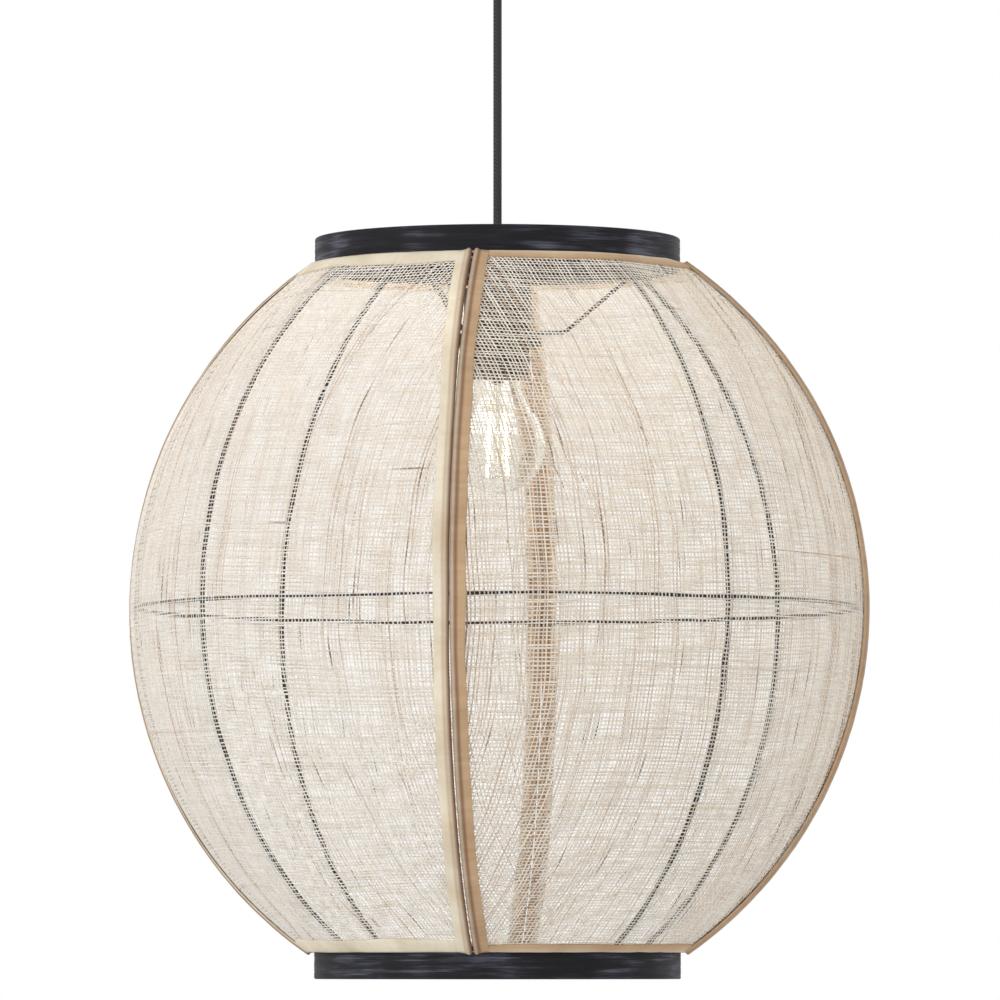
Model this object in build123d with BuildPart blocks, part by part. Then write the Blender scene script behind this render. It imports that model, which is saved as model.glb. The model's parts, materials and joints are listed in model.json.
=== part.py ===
from build123d import *
from math import asin, atan2, cos, degrees, hypot, radians, sin, sqrt
import os

# A pendant lantern: a gauze shade on a wire frame, hung by its cord from a ceiling canopy.
# Millimetres, +Z up. The origin is on the ceiling, at the middle of the bracket's top face.
# Heights named "level" are measured from the shade's widest level, which hangs at -drop.
# Azimuths are in degrees round the upright axis, from -Y at the front towards +X.

# ---- driving dimensions ----

drop = 457  # ceiling to the shade's widest level

# shade outline
shade_radius = 230  # middle of the fabric at the widest level
shade_half_height = 231.5  # widest level to a hoop's outer edge
fabric_thickness = 1.0
seam_azimuth = -7.2  # first of four seams, a quarter turn apart

# bent wood hoops at the two mouths
hoop_radius = 114.5
hoop_wall = 3.0
hoop_height = 17.0
hoop_edge_round = 0.8
hem_proud = 2.5  # fabric's middle stands out from the hoop by this much at the neck

# wire frame
frame_wire = 3.0
frame_azimuth = 37.8  # first of four frame wires, a quarter turn apart
equator_wire = 2.4
weld_sink = 0.2  # depth that a welded wire sinks into the one it crosses
tab_width = 8.0
tab_thickness = 1.0
tab_edge_setback = 2.0  # hoop's outer edge to the end of a tab

# paired ribs at each seam, each in its own sewn sleeve
rib_core_thickness = 2.5
rib_sleeve_thickness = 5.0
rib_spacing = 6.4  # between the two ribs of a pair
rib_proud = 0.55  # a rib's centre stands out from the fabric's middle by this much
tie_width = 2.0
tie_thickness = 0.6
tie_setback = 1.2  # neck ring to the near edge of a tie

# spider that hangs the shade on the lamp holder
arm_wire = 2.5
arm_azimuth = -33.0  # first of three arms, a third of a turn apart
arm_foot_radius = 42.0  # where an arm turns upward
arm_bend = 6.0
plate_drop = 61.5  # hoop's top edge to the plate's underside
plate_margin = 6.0  # plate's edge outside the holder's skirt
plate_thickness = 1.5
carrier_setback = 2.0  # hoop's top edge to the carrier ring's centre

# lamp holder for a 27 mm screw cap
skirt_radius = 20.0
skirt_wall = 2.0
skirt_length = 27.8
flange_margin = 2.5  # flange's edge outside the skirt
flange_thickness = 3.0
holder_cap_margin = 1.0  # cap's side outside the skirt
holder_cap_wall = 2.0
holder_cap_height = 28.2  # flange's underside to the start of the dome
holder_dome_height = 7.0
holder_neck_height = 7.0
shell_thickness = 0.6
shell_length = 20.0
core_floor = 4.0
contact_width = 6.0
contact_thickness = 0.8
clamp_ring_margin = 7.5  # ring's outside beyond the skirt
clamp_ring_height = 6.0
clamp_ring_grips = 24
grip_notch_radius = 1.2

# clear bulb
bulb_radius = 30.0
bulb_flare_radius = 50.0
bulb_glass_wall = 0.8
bulb_cap_radius = 13.1
bulb_cap_wall = 0.4
bulb_cap_length = 22.0
bulb_cap_overlap = 3.0  # glass neck held inside the cap
bulb_insulator_height = 3.0
bulb_contact_radius = 4.5
bulb_contact_height = 2.0
stem_radius = 2.5
stem_reach = 40.0  # stem's length below the cap's rim
filament_thickness = 1.8
filament_length = 40.0
filament_top_radius = 6.5
filament_foot_radius = 9.0
filament_count = 4
support_wire = 0.6

# cord, its gland and its grip
cord_diameter = 5.3
cord_engaged = 8.0  # length of cord held inside the gland, and inside the grip
gland_length = 22.0
gland_play = 0.95  # between the cord and the gland's bore, for the cord to lean
gland_mouth_wall = 1.4
gland_taper = 2.0  # gland's foot wider than its mouth
gland_ledge = 1.0  # holder's neck wider than the gland's foot
grip_length = 12.0
grip_play = 1.25  # between the cord and the grip's bore
grip_wall = 3.6
grip_stud_radius = 5.0
grip_stud_length = 6.0
grip_screw_radius = 1.5
lead_hole_radius = 2.2

# ceiling canopy and its bracket
canopy_radius = 45.0
canopy_height = 45.0
canopy_wall = 1.5
canopy_edge_round = 6.0
canopy_rim_gap = 0.5  # canopy rim to the ceiling
strap_width = 18.0
strap_thickness = 1.5
ear_width = 10.0
ear_depth = 16.0
mount_spacing = 50.0  # between the bracket's two fixing holes
mount_hole_radius = 2.25
side_screw_radius = 2.0
side_screw_level = 10.0  # below the ceiling
side_screw_head_radius = 3.5
side_screw_head_height = 2.5
side_screw_reach = 6.0  # past the ear, towards the middle
terminal_size = (30.0, 16.0, 14.0)
terminal_screw_radius = 1.5
terminal_screw_length = 8.0
terminal_pitch = 9.0
terminal_count = 3

# clearances
seat_gap = 0.3  # between pieces that rest on one another
turn_gap = 0.4  # between pieces that turn or slide on one another
core_gap = 0.15  # rib core in its sleeve
screw_slot_gap = 0.3  # side screw in the canopy's slot

# ---- sizes that follow ----

seam_half_gap = rib_spacing / 2 + rib_sleeve_thickness / 2 + seat_gap  # to a panel's cut edge
hoop_inner_radius = hoop_radius - hoop_wall
hoop_inner_level = shade_half_height - hoop_height
neck_radius = hoop_radius + hem_proud
bulge = shade_radius - neck_radius
arc_radius = (bulge**2 + hoop_inner_level**2) / (2 * bulge)
arc_centre = shade_radius - arc_radius  # distance out from the axis, often negative
panel_level = hoop_inner_level - seat_gap

wire_arc_radius = arc_radius - fabric_thickness / 2 - seat_gap - frame_wire / 2
neck_ring_radius = hoop_radius - hoop_wall / 2
neck_ring_level = hoop_inner_level - seat_gap - frame_wire / 2
equator_radius = arc_centre + wire_arc_radius - (frame_wire + equator_wire) / 2 + weld_sink
carrier_radius = hoop_inner_radius - tab_thickness - frame_wire / 2
carrier_level = shade_half_height - carrier_setback

# A rib follows the shade's arc, then bends flat to meet the neck ring.
rib_arc_radius = arc_radius + rib_proud
rib_end_radius = neck_ring_radius + frame_wire / 2 + core_gap
rib_bend_radius = (rib_arc_radius**2 - neck_ring_level**2 - (rib_end_radius - arc_centre) ** 2) / (
    2 * (rib_arc_radius - neck_ring_level)
)
rib_arc_angle = degrees(
    asin((neck_ring_level - rib_bend_radius) / (rib_arc_radius - rib_bend_radius))
)
sleeve_bore = rib_core_thickness + 2 * core_gap

gland_bore_radius = cord_diameter / 2 + gland_play
gland_mouth_radius = gland_bore_radius + gland_mouth_wall
gland_foot_radius = gland_mouth_radius + gland_taper
grip_bore_radius = cord_diameter / 2 + grip_play
grip_radius = grip_bore_radius + grip_wall

plate_radius = skirt_radius + plate_margin
flange_radius = skirt_radius + flange_margin
holder_cap_radius = skirt_radius + holder_cap_margin
clamp_ring_radius = skirt_radius + clamp_ring_margin
holder_neck_radius = gland_foot_radius + gland_ledge
shell_bore_radius = bulb_cap_radius + turn_gap
bulb_neck_radius = bulb_cap_radius - bulb_cap_wall - seat_gap

plate_level = shade_half_height - plate_drop
flange_level = plate_level + plate_thickness + seat_gap
skirt_level = flange_level - skirt_length
clamp_ring_level = plate_level - seat_gap - clamp_ring_height
dome_level = flange_level + holder_cap_height
holder_neck_level = dome_level + holder_dome_height
gland_level = holder_neck_level + holder_neck_height
gland_mouth_level = gland_level + gland_length
holder_bore_radius = skirt_radius + turn_gap

bulb_contact_level = flange_level + shell_length / 3 - seat_gap
bulb_insulator_level = bulb_contact_level - bulb_contact_height
bulb_shoulder_level = bulb_insulator_level - bulb_insulator_height
bulb_rim_level = bulb_shoulder_level - bulb_cap_length
bulb_flare_level = bulb_rim_level + bulb_cap_overlap / 3
bulb_centre_level = bulb_flare_level - sqrt(
    (bulb_radius + bulb_flare_radius) ** 2 - (bulb_neck_radius + bulb_flare_radius) ** 2
)
contact_level = bulb_contact_level + seat_gap
core_radius = skirt_radius - skirt_wall - seat_gap
core_top_level = contact_level + contact_thickness + core_floor
shell_level = bulb_shoulder_level - shell_length

canopy_level = drop - canopy_height
grip_level = canopy_level - grip_length
grip_pivot_level = grip_level + cord_engaged / 2
gland_pivot_level = gland_mouth_level - cord_engaged / 2
cord_start_level = gland_mouth_level - cord_engaged
cord_end_level = grip_level + cord_engaged
ear_outer = canopy_radius - canopy_wall - 5 * seat_gap

os.makedirs("parts", exist_ok=True)


# ---- planes and shared shapes ----


def level(height):
    """The flat plane at a height above the shade's widest level."""
    return Plane.XY.offset(height - drop)


def arch(azimuth, shift=0):
    """The upright plane at an azimuth: x outward, y up, moved sideways by shift."""
    turn = radians(azimuth)
    outward = (sin(turn), -cos(turn), 0)
    sideways = (-cos(turn), -sin(turn), 0)
    origin = (shift * sideways[0], shift * sideways[1], -drop)
    return Plane(origin=origin, x_dir=outward, z_dir=sideways)


def turned(height, azimuth):
    """The flat plane at a height, with x pointing out at an azimuth."""
    turn = radians(azimuth)
    return Plane(origin=(0, 0, height - drop), x_dir=(sin(turn), -cos(turn), 0), z_dir=(0, 0, 1))


def save(piece, name):
    """Label a finished piece and write it as its own file."""
    piece.part.label = name
    export_step(piece.part, f"parts/{name}.step")


def wire_ring(radius, height, thickness):
    """A closed ring of round wire about the upright axis."""
    with BuildPart() as ring:
        with BuildSketch(arch(90)):
            with Locations((radius, height)):
                Circle(thickness / 2)
        revolve(axis=Axis.Z)
    return ring


def wire_along(path, thickness, bore=0, cutters=()):
    """A round wire along a path, or a tube when it has a bore, cut clear of other pieces."""
    with BuildPart() as wire:
        with BuildSketch(Plane(origin=path @ 0, z_dir=path % 0)):
            Circle(thickness / 2)
            if bore:
                Circle(bore / 2, mode=Mode.SUBTRACT)
        sweep(path=path)
        for cutter in cutters:
            add(cutter.part, mode=Mode.SUBTRACT)
    return wire


def turned_solid(points):
    """A solid turned about the upright axis from a closed outline of (radius, level)."""
    with BuildPart() as solid:
        with BuildSketch(arch(90)):
            with BuildLine():
                Polyline(*points, close=True)
            make_face()
        revolve(axis=Axis.Z)
    return solid


def sleeve(inner, outer, low, high):
    """A plain round sleeve between two levels."""
    with BuildPart() as tube:
        with BuildSketch(level(low)):
            Circle(outer)
            Circle(inner, mode=Mode.SUBTRACT)
        extrude(amount=high - low)
    return tube


# ---- hoops ----


def make_hoop(low):
    """One bent wood hoop with softened edges."""
    with BuildPart() as hoop:
        with BuildSketch(level(low)):
            Circle(hoop_radius)
            Circle(hoop_inner_radius, mode=Mode.SUBTRACT)
        extrude(amount=hoop_height)
        fillet(hoop.edges().filter_by(GeomType.CIRCLE), hoop_edge_round)
    return hoop


top_hoop = make_hoop(hoop_inner_level)
bottom_hoop = make_hoop(-shade_half_height)
save(top_hoop, "top_hoop")
save(bottom_hoop, "bottom_hoop")

# ---- wire frame ----

top_ring = wire_ring(neck_ring_radius, neck_ring_level, frame_wire)
bottom_ring = wire_ring(neck_ring_radius, -neck_ring_level, frame_wire)
carrier_ring = wire_ring(carrier_radius, carrier_level, frame_wire)
equator_ring = wire_ring(equator_radius, 0, equator_wire)
save(top_ring, "top_ring")
save(bottom_ring, "bottom_ring")
save(carrier_ring, "carrier_ring")
save(equator_ring, "equator_ring")


def frame_wire_path(azimuth):
    """The shade's arc just inside the fabric, from one neck ring to the other."""
    half = degrees(asin((neck_ring_level + weld_sink) / wire_arc_radius))
    with BuildLine(arch(azimuth)) as path:
        CenterArc((arc_centre, 0), wire_arc_radius, -half, 2 * half)
    return path.line


for number in range(1, 5):
    wire = wire_along(
        frame_wire_path(frame_azimuth + 90 * (number - 1)),
        frame_wire,
        cutters=(top_ring, bottom_ring, equator_ring),
    )
    save(wire, f"frame_wire_{number}")


def make_tabs(low, high):
    """Four metal straps that join a hoop's inside to the ring beside it."""
    with BuildPart() as tabs:
        with BuildSketch(level(low)):
            for corner in range(4):
                Rectangle(
                    2 * hoop_inner_radius,
                    tab_width,
                    rotation=frame_azimuth - 90 + 90 * corner,
                )
            Circle(hoop_inner_radius, mode=Mode.INTERSECT)
            Circle(hoop_inner_radius - tab_thickness, mode=Mode.SUBTRACT)
        extrude(amount=high - low)
    return tabs


tab_low = neck_ring_level - frame_wire / 2
tab_high = shade_half_height - tab_edge_setback
save(make_tabs(tab_low, tab_high), "top_tabs")
save(make_tabs(-tab_high, -tab_low), "bottom_tabs")

# ---- seam ribs, their sleeves and ties ----


def rib_path(azimuth, shift, bent):
    """A rib's line: the shade's arc, with its two ends bent flat when it is the bare core."""
    reach = rib_arc_radius - rib_bend_radius
    bend_x = arc_centre + reach * cos(radians(rib_arc_angle))
    bend_y = reach * sin(radians(rib_arc_angle))
    turn = 90 - rib_arc_angle
    with BuildLine(arch(azimuth, shift)) as path:
        CenterArc((arc_centre, 0), rib_arc_radius, -rib_arc_angle, 2 * rib_arc_angle)
        if bent:
            CenterArc((bend_x, bend_y), rib_bend_radius, rib_arc_angle, turn)
            CenterArc((bend_x, -bend_y), rib_bend_radius, -90, turn)
    return path.line


for number in range(1, 5):
    azimuth = seam_azimuth + 90 * (number - 1)
    for side, shift in (("left", rib_spacing / 2), ("right", -rib_spacing / 2)):
        core = wire_along(rib_path(azimuth, shift, bent=True), rib_core_thickness)
        cover = wire_along(
            rib_path(azimuth, shift, bent=False), rib_sleeve_thickness, bore=sleeve_bore
        )
        save(core, f"rib_core_{number}_{side}")
        save(cover, f"rib_sleeve_{number}_{side}")

tie_start = neck_ring_radius + frame_wire / 2 + tie_setback
tie_bore = rib_core_thickness + 2 * seat_gap
with BuildPart() as seam_ties:
    for corner in range(4):
        turn = radians(seam_azimuth + 90 * corner)
        outward = Vector(sin(turn), -cos(turn), 0)
        for height in (neck_ring_level, -neck_ring_level):
            origin = outward * tie_start + Vector(0, 0, height - drop)
            with BuildSketch(Plane(origin=origin, x_dir=(cos(turn), sin(turn), 0), z_dir=outward)):
                SlotCenterToCenter(rib_spacing, tie_bore + 2 * tie_thickness)
                SlotCenterToCenter(rib_spacing, tie_bore, mode=Mode.SUBTRACT)
            extrude(amount=tie_width)
save(seam_ties, "seam_ties")

# ---- fabric panels ----


def make_panel(azimuth):
    """One gauze panel: a quarter of the turned shade, trimmed back from its two seams."""
    radii = (arc_radius + fabric_thickness / 2, arc_radius - fabric_thickness / 2)
    outer_angle, inner_angle = (degrees(asin(panel_level / radius)) for radius in radii)
    with BuildPart() as panel:
        with BuildSketch(arch(90)):
            with BuildLine():
                outside = CenterArc((arc_centre, 0), radii[0], -outer_angle, 2 * outer_angle)
                inside = CenterArc((arc_centre, 0), radii[1], -inner_angle, 2 * inner_angle)
                Line(outside @ 0, inside @ 0)
                Line(outside @ 1, inside @ 1)
            make_face()
        revolve(axis=Axis.Z)
        with BuildSketch(turned(-shade_half_height, azimuth)):
            with Locations((seam_half_gap, seam_half_gap)):
                Rectangle(2 * shade_radius, 2 * shade_radius, align=(Align.MIN, Align.MIN))
        extrude(amount=2 * shade_half_height, mode=Mode.INTERSECT)
    return panel


for number in range(1, 5):
    save(make_panel(seam_azimuth + 90 * (number - 1)), f"panel_{number}")

# ---- spider ----

save(
    sleeve(holder_bore_radius, plate_radius, plate_level, plate_level + plate_thickness),
    "spider_plate",
)


def arm_path(azimuth):
    """Flat out from the plate, then straight up to the carrier ring."""
    height = plate_level + plate_thickness + arm_wire / 2
    with BuildLine(arch(azimuth)) as path:
        FilletPolyline(
            (flange_radius + 2 * seat_gap, height),
            (arm_foot_radius, height),
            (carrier_radius, carrier_level),
            radius=arm_bend,
        )
    return path.line


for number in range(1, 4):
    arm = wire_along(
        arm_path(arm_azimuth + 120 * (number - 1)), arm_wire, cutters=(carrier_ring,)
    )
    save(arm, f"spider_arm_{number}")

# ---- lamp holder ----

save(sleeve(skirt_radius - skirt_wall, skirt_radius, skirt_level, flange_level), "holder_skirt")

holder_cap = turned_solid(
    [
        (skirt_radius - skirt_wall, flange_level),
        (flange_radius, flange_level),
        (flange_radius, flange_level + flange_thickness),
        (holder_cap_radius, flange_level + flange_thickness),
        (holder_cap_radius, dome_level),
        (holder_neck_radius, holder_neck_level),
        (holder_neck_radius, gland_level),
        (gland_bore_radius, gland_level),
        (gland_bore_radius, holder_neck_level - holder_cap_wall),
        (holder_neck_radius, holder_neck_level - holder_cap_wall),
        (holder_cap_radius - holder_cap_wall, dome_level - holder_cap_wall / 2),
        (holder_cap_radius - holder_cap_wall, flange_level + flange_thickness),
        (skirt_radius - skirt_wall, flange_level + flange_thickness),
    ]
)
save(holder_cap, "holder_cap")

with BuildPart() as cord_gland:
    with BuildSketch(level(gland_level)):
        Circle(gland_foot_radius)
    with BuildSketch(level(gland_mouth_level)):
        Circle(gland_mouth_radius)
    loft()
    with BuildSketch(level(gland_level)):
        Circle(gland_bore_radius)
    extrude(amount=gland_length, mode=Mode.SUBTRACT)
save(cord_gland, "cord_gland")

shell_outer_radius = shell_bore_radius + shell_thickness
with BuildPart() as holder_core:
    with BuildSketch(level(shell_level)):
        Circle(core_radius)
    extrude(amount=core_top_level - shell_level)
    with BuildSketch(level(shell_level)):
        Circle(shell_outer_radius)
    extrude(amount=core_top_level - core_floor - shell_level, mode=Mode.SUBTRACT)
save(holder_core, "holder_core")

screw_shell = sleeve(shell_bore_radius, shell_outer_radius, shell_level, bulb_shoulder_level)
save(screw_shell, "screw_shell")

with BuildPart() as centre_contact:
    with BuildSketch(level(contact_level)):
        Rectangle(2 * bulb_contact_radius, contact_width)
    extrude(amount=contact_thickness)
save(centre_contact, "centre_contact")

with BuildPart() as clamp_ring:
    with BuildSketch(level(clamp_ring_level)):
        Circle(clamp_ring_radius)
        Circle(holder_bore_radius, mode=Mode.SUBTRACT)
        with PolarLocations(clamp_ring_radius, clamp_ring_grips):
            Circle(grip_notch_radius, mode=Mode.SUBTRACT)
    extrude(amount=clamp_ring_height)
save(clamp_ring, "clamp_ring")

# ---- bulb ----


def bulb_outline(wall):
    """One wall line of the glass, from the crown's bottom up to the neck's end."""
    crown = bulb_radius - wall
    flare = bulb_flare_radius + wall
    neck = bulb_neck_radius - wall
    angle = degrees(
        atan2(bulb_flare_level - bulb_centre_level, bulb_neck_radius + bulb_flare_radius)
    )
    flare_centre = (bulb_neck_radius + bulb_flare_radius, bulb_flare_level)
    CenterArc((0, bulb_centre_level), crown, -90, 90 + angle)
    CenterArc(flare_centre, flare, 180, angle)
    return Line((neck, bulb_flare_level), (neck, bulb_rim_level + bulb_cap_overlap))


with BuildPart() as bulb_glass:
    with BuildSketch(arch(90)):
        with BuildLine():
            outer_neck = bulb_outline(0)
            inner_neck = bulb_outline(bulb_glass_wall)
            Line(outer_neck @ 1, inner_neck @ 1)
            bottom = bulb_centre_level - bulb_radius
            Line((0, bottom), (0, bottom + bulb_glass_wall))
        make_face()
    revolve(axis=Axis.Z)
save(bulb_glass, "bulb_glass")

shoulder_radius = bulb_cap_radius - bulb_insulator_height / 2
bulb_cap = turned_solid(
    [
        (bulb_cap_radius - bulb_cap_wall, bulb_rim_level),
        (bulb_cap_radius, bulb_rim_level),
        (bulb_cap_radius, bulb_shoulder_level),
        (shoulder_radius, bulb_shoulder_level + bulb_insulator_height / 2),
        (shoulder_radius - bulb_cap_wall, bulb_shoulder_level + bulb_insulator_height / 2),
        (bulb_cap_radius - bulb_cap_wall, bulb_shoulder_level - bulb_cap_wall / 2),
    ]
)
save(bulb_cap, "bulb_cap")

insulator_radius = shoulder_radius - bulb_cap_wall
bulb_insulator = turned_solid(
    [
        (0, bulb_shoulder_level),
        (insulator_radius, bulb_shoulder_level),
        (insulator_radius, bulb_shoulder_level + bulb_insulator_height / 2),
        (bulb_contact_radius, bulb_insulator_level),
        (0, bulb_insulator_level),
    ]
)
save(bulb_insulator, "bulb_insulator")

with BuildPart() as bulb_contact:
    with BuildSketch(level(bulb_insulator_level)):
        Circle(bulb_contact_radius)
    extrude(amount=bulb_contact_height)
    fillet(bulb_contact.edges().group_by(Axis.Z)[-1], bulb_contact_height / 3)
save(bulb_contact, "bulb_contact")

stem_tip_level = bulb_rim_level - stem_reach
stem_flare_radius = bulb_neck_radius - bulb_glass_wall - seat_gap
bulb_stem = turned_solid(
    [
        (0, stem_tip_level),
        (stem_radius, stem_tip_level),
        (stem_radius, bulb_rim_level - stem_flare_radius),
        (stem_flare_radius, bulb_flare_level),
        (stem_flare_radius, bulb_rim_level + bulb_cap_overlap),
        (0, bulb_rim_level + bulb_cap_overlap),
    ]
)
save(bulb_stem, "bulb_stem")


def spot(azimuth, radius, height):
    """The point at an azimuth, a distance out from the axis and a level."""
    turn = radians(azimuth)
    return Vector(radius * sin(turn), -radius * cos(turn), height - drop)


def straight_rod(start, end, thickness):
    """A straight round rod between two points."""
    with BuildPart() as rod:
        with BuildSketch(Plane(origin=start, z_dir=end - start)):
            Circle(thickness / 2)
        extrude(amount=(end - start).length)
    return rod.part


filament_lean = filament_foot_radius - filament_top_radius
filament_rise = sqrt(filament_length**2 - filament_lean**2)
filament_foot_level = bulb_centre_level - filament_rise / 2 + support_wire
filament_top_level = filament_foot_level + filament_rise
filament_azimuths = [45 + 360 / filament_count * turn for turn in range(filament_count)]

filaments = [
    straight_rod(
        spot(azimuth, filament_foot_radius, filament_foot_level),
        spot(azimuth, filament_top_radius, filament_top_level),
        filament_thickness,
    )
    for azimuth in filament_azimuths
]
with BuildPart() as bulb_filaments:
    add(filaments)
save(bulb_filaments, "bulb_filaments")

upper_wire_level = filament_top_level + support_wire
lower_wire_level = filament_foot_level - support_wire
lower_bar_reach = filament_foot_radius - support_wire / 2 - core_gap
foot_ring = wire_ring(filament_foot_radius, lower_wire_level, support_wire)
upper_spokes = [
    straight_rod(
        spot(azimuth, stem_radius + core_gap, upper_wire_level),
        spot(azimuth, filament_top_radius + support_wire, upper_wire_level),
        support_wire,
    )
    for azimuth in filament_azimuths
]
lower_bar = straight_rod(
    spot(180, lower_bar_reach, lower_wire_level),
    spot(0, lower_bar_reach, lower_wire_level),
    support_wire,
)
mast = straight_rod(
    spot(0, 0, lower_wire_level + support_wire / 2 + core_gap),
    spot(0, 0, stem_tip_level - core_gap),
    support_wire,
)
with BuildPart() as bulb_support_wires:
    add(foot_ring.part)
    add(upper_spokes)
    add(lower_bar)
    add(mast)
save(bulb_support_wires, "bulb_support_wires")

# ---- cord ----

with BuildPart() as cord:
    with BuildSketch(level(cord_start_level)):
        Circle(cord_diameter / 2)
    extrude(amount=cord_end_level - cord_start_level)
save(cord, "cord")

# ---- canopy and cord grip ----

canopy_rim_level = drop - canopy_rim_gap
with BuildPart() as canopy_cup:
    with BuildSketch(level(canopy_level)):
        Circle(canopy_radius)
    extrude(amount=canopy_rim_level - canopy_level)
    fillet(canopy_cup.edges().group_by(Axis.Z)[0], canopy_edge_round)
    offset(amount=-canopy_wall, openings=canopy_cup.faces().sort_by(Axis.Z)[-1])
    with Locations((0, 0, canopy_level - drop)):
        Cylinder(grip_stud_radius + seat_gap, 3 * canopy_wall, mode=Mode.SUBTRACT)
    slot_width = 2 * (side_screw_radius + screw_slot_gap)
    with BuildSketch(Plane.YZ):
        with Locations((0, -side_screw_level)):
            SlotCenterPoint((0, 0), (0, side_screw_level), slot_width)
    extrude(amount=2 * canopy_radius, both=True, mode=Mode.SUBTRACT)
save(canopy_cup, "canopy_cup")

cord_grip_outline = turned_solid(
    [
        (grip_bore_radius, grip_level),
        (grip_radius, grip_level),
        (grip_radius, canopy_level),
        (grip_stud_radius, canopy_level),
        (grip_stud_radius, canopy_level + grip_stud_length),
        (lead_hole_radius, canopy_level + grip_stud_length),
        (lead_hole_radius, cord_end_level + seat_gap),
        (grip_bore_radius, cord_end_level + seat_gap),
    ]
)
grip_screw_level = cord_end_level - 2 * grip_screw_radius
with BuildPart() as grip_screw:
    with BuildSketch(Plane.XZ.offset(-grip_bore_radius)):
        with Locations((0, grip_screw_level - drop)):
            Circle(grip_screw_radius)
    extrude(amount=-(grip_radius - grip_bore_radius))
save(grip_screw, "grip_screw")

with BuildPart() as cord_grip:
    add(cord_grip_outline.part)
    add(grip_screw.part, mode=Mode.SUBTRACT)
save(cord_grip, "cord_grip")

# ---- ceiling bracket ----

strap_level = drop - strap_thickness
with BuildPart() as side_screws:
    for direction in (1, -1):
        with BuildSketch(Plane.YZ.offset(direction * (ear_outer - side_screw_reach))):
            with Locations((0, -side_screw_level)):
                Circle(side_screw_radius)
        extrude(amount=direction * (canopy_radius + seat_gap - ear_outer + side_screw_reach))
        with BuildSketch(Plane.YZ.offset(direction * (canopy_radius + seat_gap))):
            with Locations((0, -side_screw_level)):
                Circle(side_screw_head_radius)
        extrude(amount=direction * side_screw_head_height)
save(side_screws, "side_screws")

with BuildPart() as ceiling_bracket:
    with BuildSketch(level(strap_level)):
        Rectangle(2 * ear_outer, strap_width)
        with Locations((-mount_spacing / 2, 0), (mount_spacing / 2, 0)):
            Circle(mount_hole_radius, mode=Mode.SUBTRACT)
    extrude(amount=strap_thickness)
    with BuildSketch(level(drop - ear_depth)):
        for direction in (1, -1):
            with Locations((direction * (ear_outer - strap_thickness / 2), 0)):
                Rectangle(strap_thickness, ear_width)
    extrude(amount=ear_depth - strap_thickness)
    add(side_screws.part, mode=Mode.SUBTRACT)
save(ceiling_bracket, "ceiling_bracket")

terminal_length, terminal_width, terminal_height = terminal_size
terminal_level = strap_level - terminal_height
terminal_places = [
    ((slot - (terminal_count - 1) / 2) * terminal_pitch, 0) for slot in range(terminal_count)
]
with BuildPart() as terminal_screws:
    with BuildSketch(level(terminal_level)):
        with Locations(*terminal_places):
            Circle(terminal_screw_radius)
    extrude(amount=terminal_screw_length)
save(terminal_screws, "terminal_screws")

with BuildPart() as terminal_block:
    with BuildSketch(level(terminal_level)):
        Rectangle(terminal_length, terminal_width)
    extrude(amount=terminal_height)
    fillet(terminal_block.edges().filter_by(Axis.Z), 2 * seat_gap)
    add(terminal_screws.part, mode=Mode.SUBTRACT)
save(terminal_block, "terminal_block")

print("cord length", round(cord_end_level - cord_start_level, 1))
print("pivots", round(grip_pivot_level - drop, 2), round(gland_pivot_level - drop, 2))
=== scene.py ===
import json
import math

import bpy
import numpy as np
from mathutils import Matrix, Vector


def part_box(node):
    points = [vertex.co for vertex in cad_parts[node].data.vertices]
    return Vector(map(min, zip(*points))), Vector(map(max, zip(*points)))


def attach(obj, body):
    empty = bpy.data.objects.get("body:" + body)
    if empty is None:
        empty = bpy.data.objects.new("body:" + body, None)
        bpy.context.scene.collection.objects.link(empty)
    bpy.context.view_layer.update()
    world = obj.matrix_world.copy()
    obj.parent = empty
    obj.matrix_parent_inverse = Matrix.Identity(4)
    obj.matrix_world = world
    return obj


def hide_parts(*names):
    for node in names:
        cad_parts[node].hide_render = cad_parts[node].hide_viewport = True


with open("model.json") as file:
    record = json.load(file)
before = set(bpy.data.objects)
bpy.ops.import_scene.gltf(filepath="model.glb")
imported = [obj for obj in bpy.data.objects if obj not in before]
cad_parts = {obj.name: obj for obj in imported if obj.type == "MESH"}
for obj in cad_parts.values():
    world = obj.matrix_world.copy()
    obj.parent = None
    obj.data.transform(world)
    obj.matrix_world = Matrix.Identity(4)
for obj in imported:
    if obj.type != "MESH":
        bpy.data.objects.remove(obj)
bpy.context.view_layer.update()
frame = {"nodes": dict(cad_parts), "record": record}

# A gauze pendant lantern. Everything is in metres, in the CAD's frame.
# Azimuths run round the upright axis from -Y at the front towards +X.
MM = 0.001

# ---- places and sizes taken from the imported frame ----


def corners(node):
    """A CAD node's lowest and highest corners, as arrays."""
    low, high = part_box(node)
    return np.array(low), np.array(high)


ring_low, ring_high = corners("equator_ring")
hoop_low, hoop_high = corners("top_hoop")
base_low = corners("bottom_hoop")[0]
WIDEST_Z = float(ring_low[2] + ring_high[2]) / 2
HOOP_RADIUS = float(hoop_high[0])
HOOP_EDGE = float(hoop_low[2]) - WIDEST_Z  # widest level to a hoop's inner edge
HOOP_HEIGHT = float(hoop_high[2] - hoop_low[2])

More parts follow.
